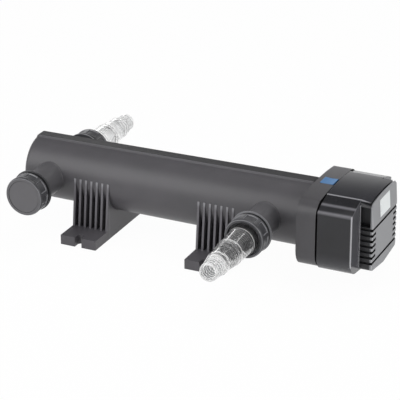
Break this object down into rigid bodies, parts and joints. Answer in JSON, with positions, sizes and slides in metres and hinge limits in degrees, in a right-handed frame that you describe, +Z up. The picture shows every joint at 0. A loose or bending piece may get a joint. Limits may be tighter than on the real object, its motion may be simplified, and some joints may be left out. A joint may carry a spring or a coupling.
{
  "type": "uv clarifier",
  "caption": "Inline ultraviolet water clarifier: a dark tube on ribbed feet with clear stepped hose tails, union nuts, a blind cap and a twist-off lamp head.",
  "frame": {"origin": "middle of the outer box of the whole object, on the plane that the feet stand on", "axes": "+X along the lamp tube towards the electronics head, +Y towards the rear port, +Z up"},
  "size_m": [0.529, 0.4222, 0.1293],
  "materials": {
    "housing_plastic": "dark grey moulded ABS, fine matt grain",
    "collar_plastic": "dark grey moulded ABS, fine matt grain",
    "foot_plastic": "dark grey moulded ABS, fine matt grain",
    "nut_plastic": "near-black moulded plastic",
    "clear_plastic": "clear polycarbonate",
    "seal_rubber": "black rubber",
    "button_plastic": "blue moulded plastic",
    "spring_steel": "spring steel",
    "shell_plastic": "satin dark grey moulded plastic",
    "cover_plastic": "satin grey moulded plastic",
    "end_plastic": "grey moulded plastic",
    "label_foil": "blank pale label",
    "carrier_plastic": "black moulded plastic",
    "screw_steel": "plated steel",
    "quartz": "clear quartz glass",
    "lamp_glass": "quartz lamp glass",
    "ceramic": "white moulded plastic",
    "socket_plastic": "off-white moulded plastic",
    "circuit_board": "green glass-epoxy board",
    "copper_core": "varnished copper winding and iron core",
    "capacitor_sleeve": "aluminium can in a plastic sleeve",
    "terminal_plastic": "white moulded plastic",
    "gland_plastic": "black nylon"
  },
  "bodies": {
    "base": {"housing": "housing_plastic", "left_foot": "foot_plastic", "right_foot": "foot_plastic", "head_collar": "collar_plastic", "sleeve_support": "carrier_plastic", "inlet_seal": "seal_rubber", "outlet_seal": "seal_rubber", "button_spring": "spring_steel"},
    "button": {"release_button": "button_plastic"},
    "cap_ring": {"cap_seal": "seal_rubber"},
    "cap": {"blind_cap": "nut_plastic"},
    "inlet_tail": {"inlet_hose_tail": "clear_plastic"},
    "inlet_union": {"inlet_nut": "nut_plastic"},
    "outlet_tail": {"outlet_hose_tail": "clear_plastic"},
    "outlet_union": {"outlet_nut": "nut_plastic"},
    "head": {"head_shell": "shell_plastic", "top_cover": "cover_plastic", "vent_block": "shell_plastic", "end_plate": "end_plastic", "label_plate": "label_foil", "lamp_carrier": "carrier_plastic", "carrier_screws": "screw_steel", "head_o_ring": "seal_rubber", "quartz_sleeve": "quartz", "sleeve_o_ring": "seal_rubber", "sleeve_nut": "nut_plastic", "lamp_socket": "socket_plastic", "lamp_base": "ceramic", "lamp_tubes": "lamp_glass", "ballast_board": "circuit_board", "board_screws": "screw_steel", "ballast_choke": "copper_core", "ballast_capacitors": "capacitor_sleeve", "terminal_block": "terminal_plastic", "cable_gland": "gland_plastic", "gland_locknut": "gland_plastic", "gland_nut": "gland_plastic"}
  },
  "joints": [
    {"name": "head_twist", "type": "hinge", "parent": "base", "child": "head", "pos_m": [0.1955, 0.0165, 0.076], "axis": [1, 0, 0], "range_deg": [0, 20]},
    {"name": "button_press", "type": "slide", "parent": "base", "child": "button", "axis": [0, 0, -1], "range_m": [0, 0.0022], "stiffness_N_per_m": 900, "springref_m": -0.002, "deforming": ["button_spring"]},
    {"name": "cap_lift", "type": "slide", "parent": "base", "child": "cap_ring", "axis": [0, -1, 0], "range_m": [0, 0.01155]},
    {"name": "cap_turn", "type": "hinge", "parent": "cap_ring", "child": "cap", "pos_m": [-0.223, 0.0165, 0.076], "axis": [0, -1, 0], "range_deg": [0, 1800]},
    {"name": "inlet_nut_lift", "type": "slide", "parent": "base", "child": "inlet_tail", "axis": [0, 1, 0], "range_m": [0, 0.01155]},
    {"name": "inlet_nut_turn", "type": "hinge", "parent": "inlet_tail", "child": "inlet_union", "pos_m": [-0.223, 0.0165, 0.076], "axis": [0, 1, 0], "range_deg": [0, 1800]},
    {"name": "outlet_nut_lift", "type": "slide", "parent": "base", "child": "outlet_tail", "axis": [0, -1, 0], "range_m": [0, 0.01155]},
    {"name": "outlet_nut_turn", "type": "hinge", "parent": "outlet_tail", "child": "outlet_union", "pos_m": [0.1097, 0.0165, 0.076], "axis": [0, -1, 0], "range_deg": [0, 1800]}
  ],
  "couplings": [
    {"joint": "cap_lift", "follows": "cap_turn", "m_per_rad": 0.00036749},
    {"joint": "inlet_nut_lift", "follows": "inlet_nut_turn", "m_per_rad": 0.00036749},
    {"joint": "outlet_nut_lift", "follows": "outlet_nut_turn", "m_per_rad": 0.00036749}
  ]
}
